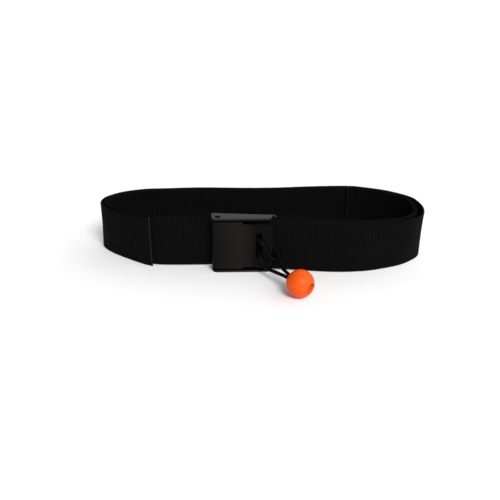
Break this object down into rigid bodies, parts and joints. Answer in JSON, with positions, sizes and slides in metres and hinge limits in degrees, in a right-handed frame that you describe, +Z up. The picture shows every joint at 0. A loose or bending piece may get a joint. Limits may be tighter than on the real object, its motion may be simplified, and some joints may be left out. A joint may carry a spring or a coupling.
{
  "type": "dive weight belt",
  "caption": "Dive weight belt: wide nylon webbing loop closed by a stamped cam-lever quick-release buckle, with a pull ball on a cord loop through the lever.",
  "frame": {"origin": "on the ground under the middle of the belt's box, without the pull cord and ball", "axes": "+Z up along the width of the webbing, -Y towards the side that the buckle faces, +X towards the lever's free end"},
  "size_m": [0.3026, 0.1569, 0.0518],
  "materials": {
    "webbing": "coarse black nylon webbing, matte with a slight sheen",
    "buckle_metal": "black oxide coated stainless sheet, satin",
    "lever_metal": "black oxide coated stainless sheet, satin gloss",
    "pin_metal": "black coated steel pin",
    "cord": "black braided cord cover",
    "ball": "glossy moulded orange plastic"
  },
  "bodies": {
    "root": {"webbing_strap": "webbing", "buckle_base": "buckle_metal", "hinge_pin": "pin_metal"},
    "lever": {"buckle_lever": "lever_metal", "pull_cord": "cord", "cord_hitch": "cord", "cord_knot": "cord"},
    "ball": {"pull_ball": "ball"}
  },
  "joints": [
    {"name": "lever_hinge", "type": "hinge", "parent": "root", "child": "lever", "pos_m": [-0.033, -0.0483, 0.0259], "axis": [0, 0, -1], "range_deg": [0, 115]},
    {"name": "ball_spin", "type": "hinge", "parent": "lever", "child": "ball", "pos_m": [0.042, -0.091, 0.012], "axis": [-0.8259, 0.5364, 0.1736], "continuous": true}
  ]
}
